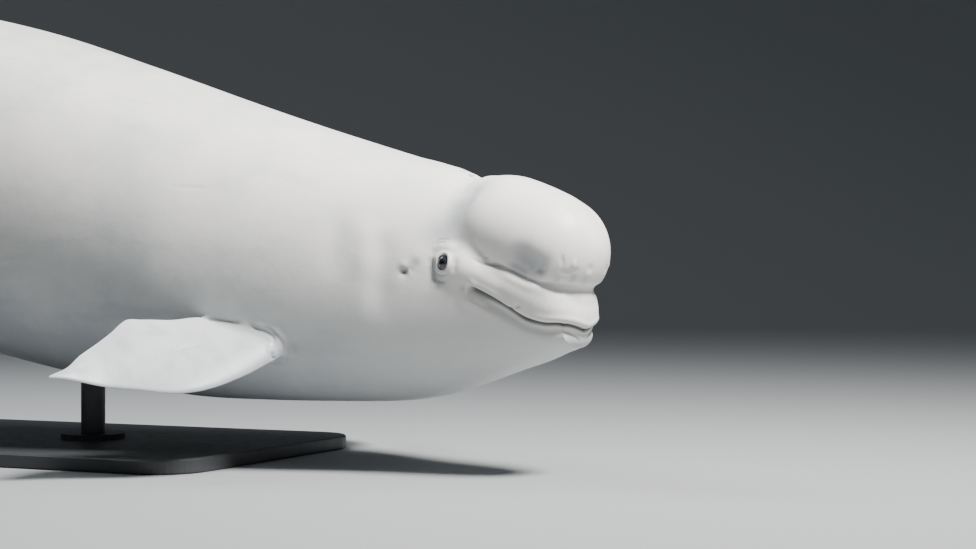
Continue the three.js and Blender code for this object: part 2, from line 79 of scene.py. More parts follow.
TRUNK = [
    [36, -50, -110, 58],
    [90, -8, -157, 96],
    [180, 72, -205, 130],
    [280, 172, -258, 160],
    [380, 226, -305, 198],
    [500, 244, -343, 252],
    [660, 263, -376, 304],
    [870, 291, -414, 346],
    [1080, 323, -444, 382],
    [1400, 376, -456, 412],
    [1750, 427, -448, 426],
    [2100, 446, -430, 420],
    [2500, 424, -392, 384],
    [2900, 355, -330, 308],
    [3300, 255, -235, 200],
    [3650, 155, -145, 104],
    [3880, 104, -98, 58],
    [4030, 68, -66, 36],
    [4180, 22, -22, 16],
]
trunk_back = curve(TRUNK, 1)
trunk_belly = curve(TRUNK, 2)
trunk_half = curve(TRUNK, 3)
TRUNK_SQUARENESS = 2.15


def trunk(behind, left, high):
    """The distance out from the trunk, whose sections are ovals a little squared."""
    back, belly, half = trunk_back(behind), trunk_belly(behind), trunk_half(behind)
    tall = (back - belly) / 2
    across = np.abs(left) / half
    up = np.abs(high - (back + belly) / 2) / tall
    ring = (across**TRUNK_SQUARENESS + up**TRUNK_SQUARENESS) ** (1 / TRUNK_SQUARENESS)
    side = (ring - 1) * np.minimum(half, tall)
    return np.maximum(side, np.maximum(TRUNK[0][0] - behind, behind - TRUNK[-1][0]))


# The low ridge along the middle of the back is tough skin over fat, where other whales have a
# fin. It rises and dies away slowly, and its top is notched nine times.
RIDGE_FROM, RIDGE_TO, RIDGE_HIGH, RIDGE_WIDE = 1930, 2640, 26, 20
RIDGE_NOTCHES, NOTCH_DEEP = 9, 0.1
UPPER_BACK = (150, 300)


def hump(x, middle, wide):
    """1 at the middle, falling away smoothly on both sides over a width."""
    return np.exp(-(((x - middle) / wide) ** 2))


def ridge(behind, left, high):
    """How far the ridge stands up from the trunk."""
    share = np.clip((behind - RIDGE_FROM) / (RIDGE_TO - RIDGE_FROM), 0, 1)
    swell = np.sin(np.pi * share) ** 0.6
    notches = 1 - NOTCH_DEEP * np.cos(2 * RIDGE_NOTCHES * np.pi * share)
    return RIDGE_HIGH * swell * notches * hump(left, 0, RIDGE_WIDE) * ease(high, *UPPER_BACK)


# The head is the melon, a soft dome of fat, over the skull, with a roll of lip along each side of
# the short beak. It is carried by the trunk's front end, which is also the throat.
MELON = (148, 88, 150, 137, 138)
CROWN = (258, 112, 160, 148, 136)
CHIN = (68, -95, 48, 61, 28)
BRIDGE = (72, -8, 49, 48, 44)


def mass(behind, left, high, spec):
    """A rounded mass: its middle behind and high, then half its length, width and height."""
    middle, centre, half_long, half_wide, half_high = spec
    x, y, z = (behind - middle) / half_long, left / half_wide, (high - centre) / half_high
    out = np.sqrt(x * x + y * y + z * z)
    grade = np.sqrt((x / half_long) ** 2 + (y / half_wide) ** 2 + (z / half_high) ** 2)
    return out * (out - 1) / np.maximum(grade, 1e-9)


UPPER_LIP = ([54, 0, -57], [53, 64, -57], [130, 82, -15], [284, 130, 22], 44, 40, 5)
LIP_TOP = ([69, 0, -6], [66, 52, -5], [92, 70, -2], [150, 92, 5], 44, 34, 0)
LOWER_LIP = ([58, 0, -99], [58, 52, -99], [130, 78, -94], [262, 126, -52], 24, 20, 0)
LIP_STEPS = 14


def lip(behind, aside, high, spec):
    """The distance to a roll that runs from the middle of the snout to the mouth's corner."""
    t = np.linspace(0, 1, LIP_STEPS + 1)[:, None]
    a, b, c, d = (np.array(point, float) for point in spec[:4])
    line = (1 - t) ** 3 * a + 3 * (1 - t) ** 2 * t * b + 3 * (1 - t) * t * t * c + t**3 * d
    thick = spec[4] + (spec[5] - spec[4]) * t[:, 0] + spec[6] * np.sin(np.pi * t[:, 0])
    place = np.stack([behind, aside, high], -1)
    least = np.full(len(place), 1e9)
    for i in range(LIP_STEPS):
        along = line[i + 1] - line[i]
        share = np.clip((place - line[i]) @ along / (along @ along), 0, 1)
        away = np.linalg.norm(place - line[i] - share[:, None] * along, axis=1)
        least = np.minimum(least, away - thick[i] - (thick[i + 1] - thick[i]) * share)
    return least


HEAD_ENDS = 600
LIPS_END, LIPS_ASIDE, LIPS_TOP = 350, 200, 100
MELON_BLEND, CHIN_BLEND, NECK_BLEND, BRIDGE_BLEND = 40, 40, 26, 26
LOWER_LIP_BLEND, LIP_TOP_BLEND = 22, 30
FOLD_WIDE, FOLD_NARROWER, FOLD_WIDER = 20, 10, 24


def head(body, behind, left, high):
    """The trunk's distance with the melon, the beak and the lips merged into it."""
    aside = np.abs(left)
    dome = merge(mass(behind, left, high, MELON), mass(behind, left, high, CROWN), MELON_BLEND)
    body = merge(body, mass(behind, left, high, CHIN), CHIN_BLEND)
    near = (behind < LIPS_END) & (aside < LIPS_ASIDE) & (high < LIPS_TOP)
    at = behind[near], aside[near], high[near]
    body[near] = merge(body[near], lip(*at, LOWER_LIP), LOWER_LIP_BLEND)
    body = merge(body, dome, NECK_BLEND)
    body[near] = merge(body[near], mass(*at, BRIDGE), BRIDGE_BLEND)
    upper_lip = merge(lip(*at, UPPER_LIP), lip(*at, LIP_TOP), LIP_TOP_BLEND)
    fold = FOLD_WIDE - FOLD_NARROWER * ease(at[1], 15, 75) + FOLD_WIDER * ease(at[0], 190, 290)
    body[near] = merge(body[near], upper_lip, fold)
    return body


# Flippers and flukes are stiff blades without visible bone, rounded in front and thin behind.
# Each lies across its own plane: out along its span, forward over its chord, and up.
NARROWEST, THINNEST = 6, 1.5
SECTION_FULL, SECTION_THINS = 1.72, 0.75
EDGE_ROUND, EDGE_ROUNDER = 2.5, 0.3


def blade(out, fore, up, front, rear, thick, length):
    """The distance out from a blade of a given length between its front and rear edges."""
    edge_in_front = (fore - front(out)) / np.hypot(1, (front(out + 1) - front(out - 1)) / 2)
    edge_behind = (rear(out) - fore) / np.hypot(1, (rear(out + 1) - rear(out - 1)) / 2)
    beyond = np.maximum(np.maximum(edge_in_front, edge_behind), out - length)
    wide = np.maximum(front(out) - rear(out), NARROWEST)
    share = np.clip((front(out) - fore) / wide, 0, 1)
    full = SECTION_FULL * np.sqrt(share) * (1 - share) ** SECTION_THINS
    half = thick(out) / 2
    round_edge = np.minimum(half, EDGE_ROUND + half * EDGE_ROUNDER * (1 - share))
    past = beyond + round_edge
    above = np.abs(up) - np.maximum(half * full, THINNEST) + round_edge
    outside = np.hypot(np.maximum(past, 0), np.maximum(above, 0))
    return outside + np.minimum(np.maximum(past, above), 0) - round_edge


FLIPPER_ROOT = np.array([755, 290, -242], float)
FLIPPER_POINTS = (0.55, 0.78, -0.28)
FLIPPER_FACES = (-0.30, 0.50, 0.80)
FLIPPER_LONG, FLIPPER_INSIDE = 523, -70
FLIPPER_CUP, FLIPPER_CURL = 34, 22
flipper_front = curve(
    [
        [-70, 40],
        [-10, 61],
        [60, 84],
        [144, 100],
        [208, 101],
        [270, 87],
        [352, 48],
        [415, 21],
        [478, -1],
        [523, -14],
    ]
)
flipper_rear = curve(
    [
        [-70, -45],
        [0, -60],
        [45, -92],
        [111, -119],
        [193, -119],
        [258, -132],
        [295, -141],
        [345, -112],
        [432, -67],
        [476, -35],
        [523, -20],
    ]
)
flipper_thick = curve([[-70, 76], [0, 70], [110, 52], [265, 34], [430, 18], [523, 8]])
FLIPPER_SPAN = np.array(FLIPPER_POINTS) / np.linalg.norm(FLIPPER_POINTS)
FLIPPER_UP = FLIPPER_FACES - FLIPPER_SPAN * (FLIPPER_SPAN @ FLIPPER_FACES)
FLIPPER_UP /= np.linalg.norm(FLIPPER_UP)
FLIPPER_CHORD = -np.cross(FLIPPER_SPAN, FLIPPER_UP)


def flipper_place(behind, aside, high):
    """Out, forward and up from the flipper's root, with its cup and its curled tip laid flat."""
    place = np.stack([behind, aside, high], -1) - FLIPPER_ROOT
    out, fore, up = place @ FLIPPER_SPAN, place @ FLIPPER_CHORD, place @ FLIPPER_UP
    cup = FLIPPER_CUP * ease(-fore, -40, 150) * ease(out, 0, 260)
    curl = FLIPPER_CURL * ease(out / FLIPPER_LONG, 0.72, 1)
    return out, fore, up - cup - curl


def flipper(behind, aside, high):
    out, fore, up = flipper_place(behind, aside, high)
    fin = blade(out, fore, up, flipper_front, flipper_rear, flipper_thick, FLIPPER_LONG)
    return np.maximum(fin, FLIPPER_INSIDE - out)


FLUKE_HALF_SPAN = 520
FLUKE_DROOP = 26
fluke_front = curve(
    [
        [-20, -3800],
        [60, -3865],
        [150, -3930],
        [280, -4020],
        [400, -4115],
        [480, -4190],
        [520, -4246],
    ]
)
fluke_rear = curve(
    [
        [-20, -4192],
        [18, -4204],
        [80, -4238],
        [200, -4276],
        [330, -4288],
        [440, -4278],
        [500, -4262],
        [520, -4256],
    ]
)
fluke_thick = curve([[-20, 84], [60, 68], [200, 42], [400, 22], [520, 10]])


def fluke(behind, aside, high):
    up = high + FLUKE_DROOP * (np.clip(aside, 0, FLUKE_HALF_SPAN) / FLUKE_HALF_SPAN) ** 2
    return blade(aside, -behind, up, fluke_front, fluke_rear, fluke_thick, FLUKE_HALF_SPAN)


# The whole skin is one surface, where this distance is nought. Fins grow out of it in fillets,
# and a flipper's fillet narrows to a crease where its rear edge comes away from the flank.
FLIPPERS_FROM, FLIPPERS_TO, FLIPPERS_ASIDE, FLUKES_FROM = 600, 1330, 150, 3700
FLIPPER_FILLET, FILLET_NARROWS, FLUKE_FILLET = 44, 32, 50


def skin_distance(place, fins_grown=0.0):
    """How far each place is outside the straight whale, with its fins grown where that is asked."""
    behind, left, high = place.T
    aside = np.abs(left)
    body = trunk(behind, left, high) - ridge(behind, left, high)
    near = behind < HEAD_ENDS
    if near.any():
        body[near] = head(body[near], behind[near], left[near], high[near])
    near = (behind > FLIPPERS_FROM) & (behind < FLIPPERS_TO) & (aside > FLIPPERS_ASIDE) & (high < 0)
    if near.any():
        at = behind[near], aside[near], high[near]
        fillet = FLIPPER_FILLET - FILLET_NARROWS * ease(flipper_place(*at)[0], 30, 120)
        body[near] = merge(body[near], flipper(*at) - fins_grown, fillet)
    near = behind > FLUKES_FROM
    if near.any():
        fin = fluke(behind[near], aside[near], high[near]) - fins_grown
        body[near] = merge(body[near], fin, FLUKE_FILLET)
    return body


# The skin's mesh starts as an even net of squares over the straight whale, and is then made finer
# where the real skin shows more: on the fins, the head, the lips, and most around the eyes. The
# net is made with thicker fins, so that their thin edges don't fall between its nodes.
COARSE = 10.0
NET_LOW = np.array([-40.0, 0.0, -500.0])
NET_HIGH = np.array([4340.0, 745.0, 500.0])
FINS_GROWN = COARSE * 1.15


def net_values():
    """The distance at each node of a square grid over the left half, mirrored to the right."""
    counts = np.ceil((NET_HIGH - NET_LOW) / COARSE).astype(int)
    counts[0] += 1
    axes = [NET_LOW[i] + COARSE * np.arange(counts[i]) for i in range(3)]
    axes[1] = COARSE * (np.arange(counts[1]) + 0.5)
    slabs = []
    for behind in axes[0]:
        left, high = (a.ravel() for a in np.meshgrid(axes[1], axes[2], indexing="ij"))
        place = np.stack([np.full(left.shape, behind), left, high], 1)
        slabs.append(skin_distance(place, FINS_GROWN).reshape(len(axes[1]), -1))
    half = np.array(slabs)
    origin = np.array([NET_LOW[0], -axes[1][-1], NET_LOW[2]])
    return np.concatenate([half[:, ::-1], half], 1), origin


def surface_net(values, origin):
    """Points and squares of the surface where the values cross nought."""
    cells = np.array(values.shape)
    flat_step = np.array([cells[1] * cells[2], cells[2], 1])
    total = np.zeros((cells.prod(), 3))
    crossings = np.zeros(cells.prod())
    squares = []
    for axis in range(3):
        low = [slice(0, -1) if i == axis else slice(1, -1) for i in range(3)]
        high = [slice(1, None) if i == axis else slice(1, -1) for i in range(3)]
        here, there = values[tuple(low)], values[tuple(high)]
        found = np.argwhere((here < 0) != (there < 0))
        first, second = here[tuple(found.T)], there[tuple(found.T)]
        place = found + np.array([0 if i == axis else 1 for i in range(3)])
        cell = place @ flat_step
        point = place.astype(float)
        point[:, axis] += first / (first - second)
        across, over = flat_step[(axis + 1) % 3], flat_step[(axis + 2) % 3]
        around = np.stack([cell - across - over, cell - over, cell, cell - across], 1)
        for corner in around.T:
            for i in range(3):
                total[:, i] += np.bincount(corner, point[:, i], len(total))
            crossings += np.bincount(corner, minlength=len(total))
        around[first < 0] = around[first < 0][:, ::-1]
        squares.append(around)
    squares = np.concatenate(squares)
    used, index = np.unique(squares, return_inverse=True)
    points = total[used] / crossings[used][:, None]
    return origin + COARSE * points, index.reshape(squares.shape)


def slope_of(place, small, value=None):
    """The grade of the skin's distance at each place."""
    value = skin_distance(place) if value is None else value
    grade = np.empty_like(place)
    for i in range(3):
        shift = np.zeros(3)
        shift[i] = small
        grade[:, i] = (skin_distance(place + shift) - value) / small
    return grade


def settle(place, steps, farthest=8.0):
    """Moves places onto the skin along its grade."""
    for step in range(steps):
        value = skin_distance(place)
        if step % 3 == 0:
            grade = slope_of(place, 0.3, value)
            grade /= np.maximum((grade**2).sum(1), 0.05)[:, None]
        place = place - np.clip(value, -farthest, farthest)[:, None] * grade
    return place


def even_out(place, links, rounds):
    """Evens the spacing of places by drawing each towards the middle of its neighbours."""
    count = np.bincount(links.ravel(), minlength=len(place))[:, None]
    for _ in range(rounds):
        total = np.zeros_like(place)
        for i in range(3):
            total[:, i] += np.bincount(links[:, 0], place[links[:, 1], i], len(place))
            total[:, i] += np.bincount(links[:, 1], place[links[:, 0], i], len(place))
        place = settle(place * 0.5 + total / count * 0.5, 1)
    return place


points, squares = surface_net(*net_values())


# The lids lie round each eye as thick soft rims. An eye's own directions are along, up and out.
EYE_BEHIND, EYE_ASIDE, EYE_HIGH = 318, 170, 30
EYE_RADIUS, EYE_SUNK = 25, 18
EYE_HALF_LONG, EYE_HALF_HIGH = 14.2, 16.8
EYE_TILT = math.radians(6)


def on_skin(points_on_side):
    """Settles a few given points, [behind, aside, high], onto the left side of the skin."""
    return settle(np.array(points_on_side, float), 12, farthest=20.0)


def eye_frame():
    """The left eye's middle on the skin, and its own three directions."""
    at = on_skin([[EYE_BEHIND, EYE_ASIDE, EYE_HIGH]])
    out = slope_of(at, 6.0)[0]
    out /= np.linalg.norm(out)
    along = np.cross([0, 0, 1.0], out)
    along *= -np.sign(along[0]) / np.linalg.norm(along)
    up = np.cross(out, along)
    up *= np.sign(up[2])
    tilted = up * math.cos(EYE_TILT) - along * math.sin(EYE_TILT)
    return at[0], along * math.cos(EYE_TILT) + up * math.sin(EYE_TILT), tilted, out


eye_at, eye_along, eye_up, eye_out = eye_frame()


def on_left(place):
    """The places, with those on the right side mirrored to the left."""
    mirrored = place.copy()
    mirrored[:, 1] = np.abs(mirrored[:, 1])
    return mirrored


def from_eye(place):
    """Along towards the snout, up and out of each place, seen from the eye on its own side."""
    away = on_left(place) - eye_at
    return away @ eye_along, away @ eye_up, away @ eye_out


MOUTH_CORNER, MOUTH_TIP_DROP = 250, 11
MOUTH = [
    [0, -69],
    [16, -68],
    [28, -67],
    [44, -68],
    [68, -72],
    [97, -70],
    [117, -65],
    [144, -53],
    [177, -39],
    [217, -26],
    [250, -17],
    [320, -6],
]
mouth_line = curve(MOUTH)


def mouth_high(behind, aside):
    """How high the mouth's line runs. The tip of the upper lip hangs lowest in the middle."""
    in_middle = (1 - ease(aside, -15, 60)) * (1 - ease(behind, 25, 60))
    return mouth_line(behind) - MOUTH_TIP_DROP * in_middle


BODY_EDGE, FRONT_EDGE, RIM_EDGE, HEAD_EDGE, LIP_EDGE, LID_EDGE = 12.0, 6.0, 3.6, 3.2, 1.7, 0.9
FLIPPER_RIM, FLUKE_RIM = 22, 20


def wanted_size(place):
    """How long an edge of the mesh may be at each place, finer in each later part of the list."""
    behind, left, high = place.T
    aside = np.abs(left)
    by_flipper = (behind > 640) & (behind < 1330)
    out, fore, _ = flipper_place(behind, aside, high)
    flipper_rim = (fore > flipper_front(out) - FLIPPER_RIM) | (fore < flipper_rear(out) + FLIPPER_RIM)
    fluke_rim = (-behind > fluke_front(aside) - FLUKE_RIM) | (-behind < fluke_rear(aside) + FLUKE_RIM)
    along, up, _ = from_eye(place)
    near_eye = np.hypot(along / 1.1, up)
    mouth = np.abs(high - mouth_high(behind, aside))
    size = np.full(len(place), BODY_EDGE)
    parts = [
        (behind < 1300, FRONT_EDGE),
        (behind > 3760, FRONT_EDGE),
        (by_flipper & (high < -130) & (aside > 200), FRONT_EDGE),
        (by_flipper & (high < -150) & (aside > 270) & (out > 0) & (flipper_rim | (out > 400)), RIM_EDGE),
        (fluke_rim & (behind > 3800) & (aside > 60), RIM_EDGE),
        ((behind > 2500) & (behind < 2900) & (aside < 40) & (high < 0), RIM_EDGE),
        (behind < 460, HEAD_EDGE),
        ((behind > 660) & (behind < 780) & (high < -170), HEAD_EDGE),
        ((behind > 340) & (behind < 430) & (aside < 50) & (high > 150), LIP_EDGE),
        ((mouth < 26) & (behind < MOUTH_CORNER + 30), LIP_EDGE),
        (near_eye < 75, LIP_EDGE),
        (near_eye < 42, LID_EDGE),
    ]
    for inside, edge in parts:
        size[inside] = edge
    return size * 1.0


EDGE_KEY = 10**8


def edge_keys(faces):
    """One number for each edge of the faces, made of its two ends, lower first."""
    ends = np.stack([faces, np.roll(faces, -1, 1)], -1).reshape(-1, 2)
    ends.sort(1)
    return ends[:, 0] * EDGE_KEY + ends[:, 1]


def links_of(*kinds):
    """The two ends of each edge, once, from arrays of faces."""
    keys = np.unique(np.concatenate([edge_keys(faces) for faces in kinds]))
    return np.stack([keys // EDGE_KEY, keys % EDGE_KEY], 1)


FINEST = 0.7
points = settle(points, 4)
points = even_out(points, links_of(squares), 3)
edge_long = COARSE
kept, cut_edges, cut_middles = [], [], []
while edge_long > FINEST:
    too_large = wanted_size(points[squares].mean(1)) < edge_long * 0.9
    kept.append(squares[~too_large])
    squares = squares[too_large]
    if not len(squares):
        break
    keys, index = np.unique(edge_keys(squares), return_inverse=True)
    index = index.reshape(-1, 4) + len(points)
    on_edges = (points[keys // EDGE_KEY] + points[keys % EDGE_KEY]) / 2
    centre = np.arange(len(squares)) + len(points) + len(keys)
    added = np.concatenate([on_edges, points[squares].mean(1)])
    cut_edges.append(keys)
    cut_middles.append(np.arange(len(keys)) + len(points))
    points = np.concatenate([points, settle(added, 2)])
    quarters = [[squares[:, i], index[:, i], centre, index[:, i - 1]] for i in range(4)]
    squares = np.concatenate([np.stack(quarter, 1) for quarter in quarters])
    edge_long /= 2
kept.append(squares)
squares = np.concatenate(kept)

# Where a large square meets smaller ones, it becomes a fan of triangles round its middle.
middle_of = dict(zip(np.concatenate(cut_edges).tolist(), np.concatenate(cut_middles).tolist()))


def along_edge(start, end):
    """The points from one end of an edge up to the other, with any that its cuts added."""
    middle = middle_of.get(min(start, end) * EDGE_KEY + max(start, end))
    if middle is None:
        return [start]
    return along_edge(start, middle) + along_edge(middle, end)


meets_finer = np.isin(edge_keys(squares), np.concatenate(cut_edges)).reshape(-1, 4).any(1)
fans, fan_middles = [], points[squares[meets_finer]].mean(1)
for i, corners in enumerate(squares[meets_finer].tolist()):
    ring = [p for j in range(4) for p in along_edge(corners[j], corners[(j + 1) % 4])]
    fans += [[len(points) + i, ring[j], ring[(j + 1) % len(ring)]] for j in range(len(ring))]
points = np.concatenate([points, settle(fan_middles, 2)])
squares = squares[~meets_finer]
fans = np.array(fans)
points = even_out(points, links_of(squares, fans), 2)


# Folds, creases, pits and scars are worked into the settled skin along its own outward way. A
# stroke raises or sinks the skin along a path, and may paint it darker, for painted shade in creases
# and pits and for scars' own marks, and greyer, for painted shade in hollows and for the flippers'
# own blotches.
outward_way = slope_of(points, 1.5)
outward_way /= np.maximum(np.linalg.norm(outward_way, axis=1), 1e-9)[:, None]
relief, dark, grey = np.zeros((3, len(points)))
BOTH, LEFT, RIGHT = 0, 1, -1
PATH_PLACES = 25
STROKE_REACH = 2.4


def path_over_skin(stops, shift):
    """Places on the left side of the skin, evenly along a smooth path through the stops."""
    stops = on_skin(np.array(stops, float) + np.array(shift, float))
    if len(stops) == 1:
        return stops
    length = np.concatenate([[0], np.cumsum(np.linalg.norm(np.diff(stops, axis=0), axis=1))])
    rows = np.column_stack([length, stops])
    along = np.linspace(0, length[-1], PATH_PLACES)
    return on_skin(np.column_stack([curve(rows, i)(along) for i in (1, 2, 3)]))


def stroke(stops, wide, rise, ends=(0.25, 0.25), darker=0.0, greyer=0.0, side=BOTH, shift=(0, 0, 0)):
    """Works a soft line, or a spot from one stop, into one or both sides of the skin. It fades
    over the shares of its length that ends gives."""
    path = path_over_skin(stops, shift)
    reach = wide * STROKE_REACH
    mirrored = on_left(points) if side == BOTH else points * np.array([1, side, 1])
    inside = (mirrored > path.min(0) - reach).all(1) & (mirrored < path.max(0) + reach).all(1)
    near = np.flatnonzero(inside)
    at = mirrored[near]
    least, share = np.full(len(at), 1e9), np.zeros(len(at))
    if len(path) == 1:
        least = np.linalg.norm(at - path[0], axis=1)
    for i in range(len(path) - 1):
        step = path[i + 1] - path[i]
        part = np.clip((at - path[i]) @ step / (step @ step), 0, 1)
        away = np.linalg.norm(at - path[i] - part[:, None] * step, axis=1)
        closer = away < least
        least[closer] = away[closer]
        share[closer] = (i + part[closer]) / (len(path) - 1)
    fall = hump(least, 0, wide)
    if len(path) > 1:
        fall *= ease(share, -0.02, ends[0]) * ease(1 - share, -0.02, ends[1])
    relief[near] += rise * fall
    dark[near] = np.maximum(dark[near], darker * fall)
    grey[near] = np.maximum(grey[near], greyer * fall)


# The mouth is a closed slit that turns up at its corner. The upper lip hangs over the lower one.
# The slit and the creases by it are painted dark, and a trough behind the corner grey, as shade.
SLIT_WIDE, SLIT_WIDER, SLIT_DEEP = 3.6, 2.4, 11
UPPER_RIM_HIGH, LOWER_LIP_SUNK = 3.2, 5.0
behind, aside, high = points[:, 0], np.abs(points[:, 1]), points[:, 2]
above_mouth = high - mouth_high(behind, aside)
in_mouth = 1 - ease(behind, MOUTH_CORNER - 16, MOUTH_CORNER + 6)
slit_wide = SLIT_WIDE + SLIT_WIDER * ease(behind, 150, 235)
relief -= SLIT_DEEP * hump(above_mouth, 0, slit_wide) * in_mouth
dark += hump(above_mouth, -0.5, slit_wide * 1.15) * in_mouth
relief += UPPER_RIM_HIGH * hump(above_mouth, 13, 9) * in_mouth
relief -= LOWER_LIP_SUNK * hump(above_mouth, -12, 13) * in_mouth
stroke([[262, 140, -16], [250, 140, -18], [234, 138, -24]], 8, -4, (0.4, 0.5), darker=0.35)
stroke([[252, 140, -34], [222, 140, -41], [196, 132, -50]], 7, 3.5, (0.4, 0.4))
stroke([[262, 146, -24], [268, 150, -8], [268, 150, 8]], 9, -2.5, (0.3, 0.6), greyer=0.3)
stroke([[39, 72, -82], [23, 55, -86], [12, 27, -97], [12, 10, -112]], 3.6, -2.8, (0.3, 0.3), darker=0.3)

# The melon rolls over the lip in a crisp fold, with a hollow above it and soft wrinkles in front.
# The fold's crease and small wrinkles are painted dark, and the hollow and the wrinkles' dents grey,
# as shade.
LIP_FOLD = [
    [262, 152, 52],
    [231, 149, 46],
    [209, 139, 45],
    [181, 131, 43],
    [164, 129, 38],
    [146, 126, 33],
    [125, 121, 27],
    [111, 117, 24],
    [93, 109, 22],
    [71, 97, 20],
    [52, 80, 20],
    [32, 58, 21],
    [20, 34, 20],
]
stroke(LIP_FOLD[:11], 5.0, -5.0, (0.3, 0.3), darker=0.42)
stroke(LIP_FOLD[8:], 7.0, -2.0, (0.4, 0.5), greyer=0.35)
stroke(LIP_FOLD[1:11], 11, 4.5, (0.3, 0.3), shift=(2, 0, -14))
HOLLOW = [[174, 141, 92], [145, 137, 76], [111, 131, 64], [90, 122, 54], [76, 110, 42]]
stroke(HOLLOW, 30, -8.0, (0.5, 0.2), greyer=1.0)
HOLLOW_FOOT = [[176, 132, 56], [152, 131, 50], [126, 126, 42], [104, 118, 36]]
stroke(HOLLOW_FOOT, 17, -3.5, (0.4, 0.3), greyer=1.0)
stroke([[98, 126, 52], [84, 116, 46], [74, 108, 38]], 12, -3.5, (0.4, 0.4), greyer=1.0)
stroke([[100, 114, 31], [86, 108, 28], [76, 102, 27]], 4, 1.8, (0.4, 0.4))
FRONT_GROOVE = [[112, 118, 18], [84, 104, 17], [56, 82, 15], [34, 58, 15], [18, 30, 14], [14, 0, 13]]
stroke(FRONT_GROOVE, 14, -7.5, (0.5, 0))
stroke([[84, 110, -30], [46, 88, -34], [20, 54, -36], [9, 24, -38], [8, 0, -38]], 20, 2.5, (0.4, 0))
stroke([[52, 98, 58], [36, 84, 54], [22, 70, 60], [14, 58, 66]], 6, -1.8, (0.3, 0.3), darker=0.12)
stroke([[34, 76, 44], [22, 58, 42]], 10, -2.0, (0.4, 0.4), greyer=0.55)
stroke([[30, 82, 76], [20, 70, 74]], 10, 1.8, (0.4, 0.4))
stroke([[50, 100, 80], [38, 92, 82]], 12, -1.5, (0.4, 0.4), greyer=0.3)
stroke([[66, 98, 34], [46, 84, 34]], 10, -1.4, (0.4, 0.4), greyer=0.5)
stroke([[18, 46, 40], [10, 24, 36]], 9, -1.4, (0.4, 0.4), greyer=0.4)
stroke([[8, 46, 74], [4, 22, 66]], 9, -1.2, (0.4, 0.4), greyer=0.25)
stroke([[12, 44, 54], [6, 22, 52]], 9, 1.2, (0.4, 0.4))
stroke([[231, 149, 58], [222, 146, 58], [211, 142, 58]], 2.6, -1.2, (0.4, 0.4), darker=0.2)
stroke([[229, 149, 51], [209, 141, 51]], 2.6, -1.2, (0.4, 0.4), darker=0.2)
stroke([[152, 124, -50], [134, 122, -40], [118, 118, -33]], 4.5, -2.6, (0.3, 0.3), darker=0.2)
stroke([[148, 124, -43], [128, 120, -30]], 6, 2.0, (0.4, 0.4))
stroke([[138, 0, 228], [138, 40, 222]], 15, -4.0, (0, 0.5))
stroke([[62, 0, 200], [66, 60, 188]], 40, -8.5, (0, 0.5))
stroke([[30, 0, 150], [34, 50, 150]], 30, -3.0, (0, 0.5))

# A soft hollow parts the melon from the neck and runs down towards the eye and the ear. It and the
# groove between the neck's rolls are painted grey as shade.
NECK_HOLLOW = [
    [326, 52, 224],
    [321, 64, 222],
    [311, 98, 203],
    [312, 120, 179],
    [322, 131, 154],
    [331, 143, 124],
    [341, 156, 99],
    [350, 169, 73],
    [362, 180, 53],
    [380, 192, 34],
]
stroke(NECK_HOLLOW, 24, -4.5, (0.35, 0.3), greyer=1.0)
stroke(NECK_HOLLOW, 42, -1.5, (0.2, 0.3), greyer=1.0)
stroke([[352, 40, 236], [350, 70, 220], [344, 112, 182]], 9, -1.8, (0.4, 0.4), greyer=0.5)
stroke([[332, 0, 232], [332, 44, 226]], 18, 4.5, (0, 0.5))
stroke([[390, 0, 236], [480, 0, 243], [580, 0, 254]], 55, 5.0, (0.3, 0.5))
stroke([[470, 222, 96], [452, 232, 20], [448, 236, -60], [452, 226, -140]], 34, -5.5, (0.3, 0.4))
stroke([[520, 240, 130], [500, 252, 40], [498, 256, -50]], 30, 3.5, (0.4, 0.4))
stroke([[590, 262, 140], [572, 280, 40], [566, 286, -60]], 36, -3.5, (0.4, 0.4), greyer=0.25)

# The eyelids lie round each eye as soft rims, with a brow above, and a trough behind and below.
# The well inside the lids, the lids' folds, the brow's wrinkles and a crease below are painted dark,
# and the trough grey, as shade; the front of the lids' rim is painted darker. A place's ring is its
# share of the way from the eye's middle to the lids' inner edge.
LID_THICK, LID_HEAVIER, POUCH_HIGH = 3.0, 1.6, 1.3
WELL_DEEP, LID_FOLD_DEEP = 15, 1.2
eye_ahead, eye_above, eye_beyond = from_eye(points)
eye_away = np.hypot(eye_ahead, eye_above)
eye_ring = np.hypot(eye_ahead / EYE_HALF_LONG, eye_above / EYE_HALF_HIGH)
near_eye = (points[:, 0] < 520) & (eye_away < 110) & (np.abs(eye_beyond) < 60)
lid_edge = eye_away / np.maximum(eye_ring, 0.05)
ball_high = np.sqrt(np.maximum(EYE_RADIUS**2 - np.minimum(lid_edge, 24) ** 2, 0)) - EYE_SUNK
lid_rim = (ball_high + LID_THICK) * hump(np.maximum(eye_ring - 1.16, 0), 0, 0.75)
well = ease(eye_ring, 1.08, 0.86)
eye_relief = lid_rim * (1 - well) - WELL_DEEP * well
eye_relief += LID_HEAVIER * hump(eye_ring, 1.34, 0.26) * ease(eye_above, -12, 16)
eye_relief += POUCH_HIGH * hump(eye_ring, 1.36, 0.2) * ease(0.5 * eye_ahead - eye_above, -2, 12)
eye_turn = np.arctan2(eye_above, eye_ahead)
lid_fold = hump(eye_ring, 1.85 + 0.12 * np.sin(eye_turn * 2 + 1), 0.15)
lid_fold *= 0.12 + 0.88 * ease(-eye_above - 0.8 * eye_ahead, 0, 20)
eye_relief -= LID_FOLD_DEEP * lid_fold
lid_front = hump(eye_ring, 1.12, 0.16) * ease(eye_ahead, -4, 8)
relief[near_eye] += eye_relief[near_eye]
dark[near_eye] += (well * 0.9 + 0.16 * lid_fold + 0.6 * lid_front)[near_eye]
stroke([[350, 176, 48], [332, 166, 66], [310, 158, 66], [292, 152, 54]], 13, 5.0, (0.4, 0.4))
